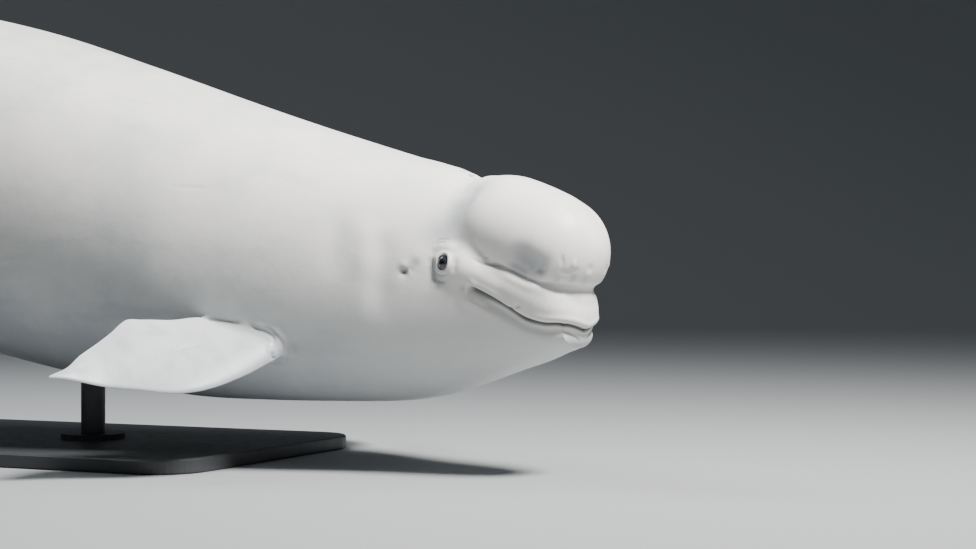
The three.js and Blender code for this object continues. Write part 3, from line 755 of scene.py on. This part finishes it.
stroke([[352, 178, 66], [340, 168, 74], [322, 158, 77]], 3.2, -1.6, (0.3, 0.3), darker=0.22)
stroke([[350, 178, 74], [338, 166, 82], [318, 156, 85]], 3.2, -1.3, (0.3, 0.3), darker=0.18)
EYE_TROUGH = [[343, 176, 40], [342, 177, 18], [336, 177, -4], [328, 176, -26]]
stroke(EYE_TROUGH, 11, -3.5, darker=0.12, greyer=1.0)
stroke([[340, 176, 20], [332, 176, -12], [330, 176, -44]], 24, -2.0, (0.4, 0.4), greyer=0.6)
stroke([[330, 172, -12], [316, 170, -15], [302, 166, -9]], 4, -1.6, (0.3, 0.4), darker=0.25)
stroke([[292, 162, 48], [286, 160, 28], [288, 160, 6]], 10, -2.6, (0.4, 0.4))

# The ear is a pinhole in a small dimple, with a slight swelling over it. The pinhole is painted
# dark, and the dimple and a trough above it grey, as shade.
EAR = [[402, 206, -7]]
stroke(EAR, 8, -6.5, darker=0.75)
stroke(EAR, 17, -2.2, greyer=0.8)
stroke([[404, 207, 9]], 10, 2.2)
stroke([[394, 203, -8], [386, 198, 10], [374, 190, 34]], 13, -2.4, (0.3, 0.5), greyer=0.5)

# The blowhole is a crescent slit behind the melon, a little left of the middle, in a soft rim. The
# slit is painted dark, and a groove outside the rim grey, as shade.
BLOWHOLE_BEHIND, BLOWHOLE_LEFT, BLOWHOLE_HIGH = 372, 14, 236
ARC_STOPS = 9


def blowhole_arc(radius, widest):
    """Stops along an arc round the blowhole's middle, open towards the snout."""
    angles = np.radians(np.linspace(-widest, widest, ARC_STOPS))
    behind, left = BLOWHOLE_BEHIND + radius * np.cos(angles), BLOWHOLE_LEFT + radius * np.sin(angles)
    return np.column_stack([behind, left, np.full(ARC_STOPS, BLOWHOLE_HIGH)])


stroke(blowhole_arc(27, 62), 4.0, -8, (0.12, 0.12), darker=0.95, side=LEFT)
stroke(blowhole_arc(37, 60), 7, 1.2, (0.3, 0.3), side=LEFT)
stroke([[BLOWHOLE_BEHIND, BLOWHOLE_LEFT, BLOWHOLE_HIGH + 2]], 15, 1.6, side=LEFT)
stroke(blowhole_arc(50, 60), 9, -1.0, (0.3, 0.3), greyer=0.4, side=LEFT)

# Loose skin gathers in folds round the flippers' roots, in front most of all. Their creases are
# painted dark, and a hollow in front grey, as shade.
ROOT_FOLD = [[797, 316, -198], [766, 308, -204], [741, 303, -207], [716, 297, -217], [707, 300, -236]]
stroke(ROOT_FOLD, 5, -3.5, (0.3, 0.3), darker=0.35)
stroke(ROOT_FOLD, 9, 3.0, (0.3, 0.3), shift=(-12, 0, 8))
OUTER_FOLD = [[760, 302, -196], [728, 296, -200], [697, 288, -222], [689, 281, -240], [694, 281, -256]]
stroke(OUTER_FOLD, 5, -3.0, (0.3, 0.3), darker=0.3)
stroke([[706, 306, -246], [704, 308, -260], [700, 296, -274]], 5, -3.5, (0.3, 0.2), darker=0.3)
stroke([[722, 306, -228], [716, 306, -242], [716, 318, -258]], 7, 2.4, (0.4, 0.4))
stroke([[670, 276, -210], [664, 270, -236], [668, 262, -262]], 10, -2.4, (0.4, 0.4), greyer=0.3)
REAR_CREASE = [[796, 317, -199], [826, 322, -200], [867, 330, -201], [906, 340, -202]]
stroke(REAR_CREASE, 5, -5.0, (0.3, 0.2), darker=0.5)

# Each flipper is faintly blotched above, with one light scratch. These are told by how far out
# from the flipper's root and how far forward they lie.
SCRATCH = [[150, -20], [190, -24], [214, -20]]
BLOTCHES = [
    ([[110, 20], [150, 30]], 22, 0.30),
    ([[150, -60], [200, -66]], 16, 0.28),
    ([[230, 20], [270, 0]], 24, 0.26),
    ([[300, -70], [350, -60]], 20, 0.32),
    ([[330, 10], [380, 0]], 16, 0.24),
    ([[420, -30], [470, -24]], 14, 0.34),
    ([[60, 30], [70, -20]], 18, 0.26),
]
ABOVE_BLADE = 20


def over_flipper(stops):
    """Places just above the flipper's plane."""
    above_root = FLIPPER_ROOT + FLIPPER_UP * ABOVE_BLADE
    return [above_root + FLIPPER_SPAN * out + FLIPPER_CHORD * fore for out, fore in stops]


for stops, wide, greyer in BLOTCHES:
    stroke(over_flipper(stops), wide, -0.8, (0.4, 0.4), greyer=greyer)
stroke(over_flipper(SCRATCH), 4, -1.2, darker=0.10)

# Under the belly lie the navel, the long slit and the vent, each a closed crease painted dark as
# shade.
stroke([[1900, 2, -440], [1925, 2, -436]], 7, -5, (0.2, 0.2), darker=0.3, side=LEFT)
stroke([[2540, 0, -400], [2650, 0, -380], [2740, 0, -360]], 6, -7, (0.1, 0.1), darker=0.5, side=LEFT)
stroke([[2530, 0, -400], [2650, 0, -380], [2760, 0, -360]], 22, 4, side=LEFT)
stroke([[2830, 0, -345], [2862, 0, -338]], 6, -6, (0.2, 0.2), darker=0.4, side=LEFT)

# Old scratches and nicks, healed pale or grey, lie on the flanks and the back.
SCARS = [
    ([[1350, 309, 250], [1392, 312, 240]], RIGHT),
    ([[1402, 406, 62], [1436, 408, 44]], RIGHT),
    ([[930, 330, 110], [1010, 336, 96], [1060, 344, 92]], RIGHT),
    ([[1180, 250, 300], [1290, 262, 310]], RIGHT),
    ([[1700, 420, 120], [1850, 424, 96], [1930, 424, 98]], RIGHT),
    ([[700, 260, 160], [770, 280, 130]], LEFT),
    ([[1240, 380, 60], [1330, 392, 20]], LEFT),
    ([[2200, 380, 190], [2360, 372, 170]], LEFT),
    ([[2980, 240, 130], [3100, 214, 118]], RIGHT),
    ([[3320, 160, 80], [3400, 150, 60]], LEFT),
]
for stops, side in SCARS:
    stroke(stops, 4.0, -0.9, (0.4, 0.4), darker=0.10, side=side)

place = points + relief[:, None] * outward_way


# The whale is bent into its pose along its spine. It points nose down, its head is turned to its
# right, and its tail flexes down so that the flukes come about level.
BODY_PITCH, TAIL_PITCH, HEAD_TURN = (math.radians(angle) for angle in (-9.6, 4, 10))
TURN_FROM, TURN_TO = 400, 860
FLEX_FROM, FLEX_TO = 1700, 4000
POISE_BEHIND, POISE_HIGH = 1900, 735
SPINE_STEP = 20
SPINE_FROM, SPINE_TO = -60, 4400


def pitch_at(behind):
    return BODY_PITCH + (TAIL_PITCH - BODY_PITCH) * ease(behind, FLEX_FROM, FLEX_TO)


def turn_at(behind):
    return HEAD_TURN * (1 - ease(behind, TURN_FROM, TURN_TO))


def heading_at(behind):
    """The way the spine points at each place, towards the snout."""
    pitch, turn = pitch_at(behind), turn_at(behind)
    level = np.cos(pitch)
    return np.stack([level * np.cos(turn), -level * np.sin(turn), np.sin(pitch)], -1)


spine_places = np.arange(SPINE_FROM, SPINE_TO + 1, SPINE_STEP)
spine_steps = heading_at(spine_places[:-1] + SPINE_STEP / 2) * -SPINE_STEP
spine = np.concatenate([np.zeros((1, 3)), np.cumsum(spine_steps, 0)])
spine -= spine[list(spine_places).index(POISE_BEHIND)] - np.array([0, 0, POISE_HIGH])


def posed(place):
    """Carries places on the straight whale into the pose, in metres."""
    behind = np.clip(place[:, 0], SPINE_FROM, SPINE_TO)
    at = np.stack([np.interp(behind, spine_places, spine[:, i]) for i in range(3)], 1)
    ahead, turn = heading_at(behind), turn_at(behind)
    left = np.stack([np.sin(turn), np.cos(turn), np.zeros(len(place))], 1)
    up = np.cross(ahead, left)
    return (at + left * place[:, 1:2] + up * place[:, 2:3]) / 1000


def smooth_object(name, places, faces):
    """Puts a smooth-shaded mesh into the scene."""
    mesh = bpy.data.meshes.new(name)
    mesh.from_pydata(places, [], faces)
    mesh.shade_smooth()
    made = bpy.data.objects.new(name, mesh)
    bpy.context.scene.collection.objects.link(made)
    return made


whale = smooth_object("whale_skin", posed(place).tolist(), squares.tolist() + fans.tolist())
# Masks painted onto the skin's points: crease is painted shade in creases, slits and pits, with the
# scars' own darker marks; grey is painted shade in hollows, with the flippers' own blotches; low is
# painted shade, stronger the lower the place and more on the trunk than the head; trunk is how far a
# place lies from the face.
behind, _, high = points.T
tall = (high - trunk_belly(behind)) / (trunk_back(behind) - trunk_belly(behind))
on_trunk = ease(behind, 300, 900)
underside_shade = (1 - ease(tall, 0.05, 0.75)) * (0.75 + 0.25 * on_trunk)
tones = {"crease": dark, "grey": grey, "trunk": on_trunk, "low": underside_shade}
for name, values in tones.items():
    layer = whale.data.attributes.new(name, "FLOAT", "POINT")
    layer.data.foreach_set("value", np.clip(values, 0, 1))
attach(whale, "root")
FLESH = ["head", "melon", "lower_jaw", "neck", "chest", "belly", "loin", "tail_stock"]
FLESH += ["dorsal_ridge", "flipper_left", "flipper_right", "fluke_left", "fluke_right"]
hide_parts(*FLESH)


# Shader maths is written as sums on sockets: each operator adds the node that works it out.
class Shade:
    tree = None

    def __init__(self, socket):
        self.socket = socket

    @classmethod
    def feed(cls, socket, value):
        """Links a shade to a socket, or sets the socket to a plain value."""
        if isinstance(value, cls):
            cls.tree.links.new(value.socket, socket)
        else:
            socket.default_value = value

    @classmethod
    def node(cls, kind, settings=None, out=0, **values):
        """Adds a node. From_Min feeds the socket called From Min, and _0 feeds the first one."""
        made = cls.tree.nodes.new(kind)
        for name, setting in (settings or {}).items():
            setattr(made, name, setting)
        for name, value in values.items():
            key = int(name[1:]) if name[0] == "_" else name.replace("_", " ")
            cls.feed(made.inputs[key], value)
        return cls(made.outputs[out])

    def maths(self, operation, first, second):
        return Shade.node("ShaderNodeMath", {"operation": operation}, _0=first, _1=second)

    def __add__(self, other):
        return self.maths("ADD", self, other)

    __radd__ = __add__

    def __sub__(self, other):
        return self.maths("SUBTRACT", self, other)

    def __rsub__(self, other):
        return self.maths("SUBTRACT", other, self)

    def __mul__(self, other):
        return self.maths("MULTIPLY", self, other)

    __rmul__ = __mul__

    def clamp(self):
        return self.maths("MINIMUM", self.maths("MAXIMUM", self, 0.0), 1.0)

    def between(self, low, high):
        """Rises smoothly from 0 at low to 1 at high."""
        settings = {"interpolation_type": "SMOOTHSTEP"}
        return Shade.node("ShaderNodeMapRange", settings, Value=self, From_Min=low, From_Max=high)


def noise(where, scale, detail=3.0, roughness=0.5):
    kind = "ShaderNodeTexNoise"
    return Shade.node(kind, Vector=where, Scale=scale, Detail=detail, Roughness=roughness)


def mix(amount, first, second):
    settings = {"data_type": "RGBA"}
    return Shade.node("ShaderNodeMix", settings, 2, Factor=amount, _6=first, _7=second)


def new_material(name):
    made = bpy.data.materials.new(name)
    made.use_nodes = True
    Shade.tree = made.node_tree
    return made, made.node_tree.nodes["Principled BSDF"]


def finish_with(shader, **sockets):
    for name, value in sockets.items():
        Shade.feed(shader.inputs[name.replace("_", " ")], value)


# A beluga's skin is thick, smooth and rubbery, ivory white with faint grey clouds and scuffs.
# Painted shade greys it behind the melon and in the hollows, darkens its creases, and makes it a
# little greyer and bluer low on the flanks and underneath.
IVORY = (0.815, 0.80, 0.765, 1)
CLOUD_AND_UNDERSIDE_SHADE_GREY = (0.44, 0.475, 0.50, 1)
HOLLOW_SHADE_AND_MOTTLE_GREY = (0.29, 0.315, 0.355, 1)
CREASE_SHADE_AND_SCAR_GREY = (0.085, 0.10, 0.11, 1)


def painted(name):
    return Shade.node("ShaderNodeAttribute", {"attribute_name": name}, "Fac")


skin_material, skin_shader = new_material("white_whale_skin")
where = Shade.node("ShaderNodeTexCoord", out="Object")
clouds = noise(where, 2.4, 5.0, 0.6).between(0.40, 0.75)
mottle = noise(where, 11.0, 5.0, 0.62).between(0.45, 0.80)
streaks = Shade.node("ShaderNodeMapping", Vector=where, Scale=(1.2, 7.0, 7.0))
streaks = noise(streaks, 2.0, 4.0, 0.6).between(0.50, 0.80)
speck = noise(where, 95.0, 2.0, 0.5).between(0.62, 0.80)
away_from_face = painted("trunk")
# The clouds, mottle and streaks are the skin's own greys. The low mask adds painted shade, greyer low on
# the flanks and underneath.
pale = clouds * (away_from_face * 0.30 + 0.14) + mottle * (away_from_face * 0.15 + 0.05)
pale = pale + streaks * away_from_face * 0.30 + painted("low") * 0.80
colour = mix(pale.clamp(), IVORY, CLOUD_AND_UNDERSIDE_SHADE_GREY)
# The grey mask is painted shade in the hollows, along with the flippers' own faint blotches.
colour = mix((painted("grey") * 0.80 * (0.8 + mottle * 0.4)).clamp(), colour, HOLLOW_SHADE_AND_MOTTLE_GREY)
colour = mix(speck * 0.10, colour, HOLLOW_SHADE_AND_MOTTLE_GREY)
# The crease mask is painted shade in the creases, slits, pits and the eye's well, along with the scars'
# own darker marks.
colour = mix((painted("crease") * 0.92).clamp(), colour, CREASE_SHADE_AND_SCAR_GREY)
grain = noise(where, 140.0, 4.0, 0.6) * 0.5 + noise(where, 26.0, 3.0, 0.5)
bump = Shade.node("ShaderNodeBump", Height=grain, Strength=0.22, Distance=0.0022)
finish_with(
    skin_shader,
    Base_Color=colour,
    Roughness=noise(where, 14.0, 3.0).between(0.25, 0.75) * 0.14 + 0.36,
    Normal=bump,
    Subsurface_Weight=0.10,
    Subsurface_Radius=(0.02, 0.012, 0.008),
    Subsurface_Scale=0.4,
    Specular_IOR_Level=0.4,
)
whale.data.materials.append(skin_material)


# Each eye is a small dark ball under a clear wet cornea, held between its lids. Its iris is a deep
# blue-black with a wide pupil, and its grey white lies behind the lids.
PUPIL_BLACK = (0.003, 0.003, 0.004, 1)
IRIS_DARK = (0.006, 0.008, 0.013, 1)
IRIS_LIGHT = (0.022, 0.028, 0.044, 1)
EYE_GREY = (0.05, 0.056, 0.066, 1)
PUPIL_EDGE, IRIS_EDGE = (6.0, 8.0), (12.5, 17.0)
eye_material, eye_shader = new_material("dark_wet_eye")
off_axis = painted("off_axis")
iris_fibres = noise(Shade.node("ShaderNodeTexCoord", out="Object"), 500.0, 3.0, 0.6)
iris_colour = mix(iris_fibres, IRIS_DARK, IRIS_LIGHT)
eye_colour = mix(off_axis.between(*PUPIL_EDGE), PUPIL_BLACK, iris_colour)
eye_colour = mix(off_axis.between(*IRIS_EDGE), eye_colour, EYE_GREY)
finish_with(eye_shader, Base_Color=eye_colour, Roughness=0.12, Coat_Weight=1.0, Coat_Roughness=0.03)

# The ball's points lie in rings from its front pole to its rear one, and the two poles come last.
CORNEA_RISE, CORNEA_WIDE, BALL_CLEAR = 1.3, 0.45, 0.3
BALL_SIDES, BALL_RINGS = 64, 47
FAR_OFF_AXIS = 40
round_ball = np.linspace(0, 2 * np.pi, BALL_SIDES, endpoint=False)
down_ball = np.linspace(0, np.pi, BALL_RINGS + 2)[1:-1]
turn, off = (angles.ravel() for angles in np.meshgrid(round_ball, down_ball))
turn, off = np.append(turn, [0, 0]), np.append(off, [0, np.pi])
ball = EYE_RADIUS - BALL_CLEAR + CORNEA_RISE * hump(off, 0, CORNEA_WIDE)
ball_wide = ball * np.sin(off)
places = eye_at - EYE_SUNK * eye_out + np.outer(ball_wide * np.cos(turn), eye_along)
places += np.outer(ball_wide * np.sin(turn), eye_up) + np.outer(ball * np.cos(off), eye_out)
front_pole = BALL_RINGS * BALL_SIDES
last_ring = front_pole - BALL_SIDES
ball_faces = []
for j in range(BALL_SIDES):
    k = (j + 1) % BALL_SIDES
    ball_faces += [[front_pole, k, j], [front_pole + 1, last_ring + j, last_ring + k]]
    for ring in range(0, last_ring, BALL_SIDES):
        ball_faces.append([ring + j, ring + k, ring + BALL_SIDES + k, ring + BALL_SIDES + j])
for side, node in ((LEFT, "eye_left"), (RIGHT, "eye_right")):
    posed_places = posed(places * np.array([1, side, 1])).tolist()
    eye = smooth_object("ball_of_" + node, posed_places, [face[::side] for face in ball_faces])
    layer = eye.data.attributes.new("off_axis", "FLOAT", "POINT")
    layer.data.foreach_set("value", ball_wide + FAR_OFF_AXIS * (off > np.pi / 2))
    eye.data.materials.append(eye_material)
    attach(eye, "root")
    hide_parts(node)


# The stand is a flat base and two short rods on flanges, all of steel in dark grey satin paint. Its
# solids show as they come from the frame, and only the paint is added.
stand_material, stand_shader = new_material("dark_satin_paint")
where = Shade.node("ShaderNodeTexCoord", out="Object")
finish_with(
    stand_shader,
    Base_Color=(0.045, 0.048, 0.052, 1),
    Roughness=noise(where, 40.0).between(0.3, 0.7) * 0.1 + 0.38,
)
for name in ("stand_base", "stand_rod_front", "stand_rod_rear"):
    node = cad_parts[name]
    node.data.materials.clear()
    node.data.materials.append(stand_material)


# The camera stands about level with the eye, ahead of the whale and on its right, and frames its
# front half as the photograph does. Its lens and sensor are in millimetres.
CAMERA_AT = (3.5194, -4.2409, 0.4734)
CAMERA_YAW = 25
CAMERA_LENS, CAMERA_SENSOR = 71.37, 36
camera_data = bpy.data.cameras.new("camera")
camera_data.lens = CAMERA_LENS
camera_data.sensor_width = CAMERA_SENSOR
camera = bpy.data.objects.new("camera", camera_data)
camera.location = CAMERA_AT
camera.rotation_euler = (math.radians(90), 0, math.radians(CAMERA_YAW))
bpy.context.scene.collection.objects.link(camera)
bpy.context.scene.camera = camera

# The studio is a plain pale floor that sweeps up all round into a low wall, open above, where a
# soft sky of light stands in for a ceiling of lamps. The key light hangs above and ahead of the
# whale, and a weaker one lights its rear half.
FLOOR_FLAT, SWEEP_RADIUS, WALL_TOP = 12.0, 6.0, 8.0
FLAT_RINGS = (1.0, 4.0, 8.0)
SWEEP_STEP, FLOOR_STEP = 5, 3
SKY_COLOUR, SKY_STRENGTH = (0.84, 0.92, 1.0, 1), 0.20
floor_material, floor_shader = new_material("pale_floor")
finish_with(floor_shader, Base_Color=(0.30, 0.31, 0.315, 1), Roughness=0.85)
bends = np.radians(np.arange(0, 91, SWEEP_STEP))
rings = [(radius, 0.0) for radius in FLAT_RINGS]
rings += [(FLOOR_FLAT + SWEEP_RADIUS * math.sin(a), SWEEP_RADIUS * (1 - math.cos(a))) for a in bends]
rings += [(FLOOR_FLAT + SWEEP_RADIUS, WALL_TOP)]
turns = np.radians(np.arange(0, 360, FLOOR_STEP))
floor_points = [[0, 0, 0]]
floor_points += [[r * math.cos(a), r * math.sin(a), z] for r, z in rings for a in turns]
count = len(turns)
floor_faces = [[0, 1 + j, 1 + (j + 1) % count] for j in range(count)]
for inner in range(1, 1 + count * (len(rings) - 1), count):
    for j in range(count):
        k = (j + 1) % count
        floor_faces.append([inner + j, inner + count + j, inner + count + k, inner + k])
floor = smooth_object("floor", floor_points, floor_faces)
floor.data.materials.append(floor_material)

world = bpy.data.worlds.new("studio")
world.use_nodes = True
sky = world.node_tree.nodes["Background"]
sky.inputs["Color"].default_value = SKY_COLOUR
sky.inputs["Strength"].default_value = SKY_STRENGTH
bpy.context.scene.world = world


def soft_light(name, at, towards, size, power, spread, colour):
    """A round lamp, its spread in degrees."""
    data = bpy.data.lights.new(name, "AREA")
    data.shape, data.size = "DISK", size
    data.energy, data.color, data.spread = power, colour, math.radians(spread)
    light = bpy.data.objects.new(name, data)
    light.location = at
    light.rotation_euler = (Vector(towards) - Vector(at)).to_track_quat("-Z", "Y").to_euler()
    bpy.context.scene.collection.objects.link(light)


soft_light(
    "key_light",
    at=(3.8, -0.6, 4.2),
    towards=(1.1, 0, 0.7),
    size=1.3,
    power=460,
    spread=140,
    colour=(1, 0.985, 0.96),
)
soft_light(
    "far_light",
    at=(-2.6, 0.6, 5.0),
    towards=(-1.0, 0, 0.6),
    size=2.5,
    power=140,
    spread=150,
    colour=(0.92, 0.96, 1),
)
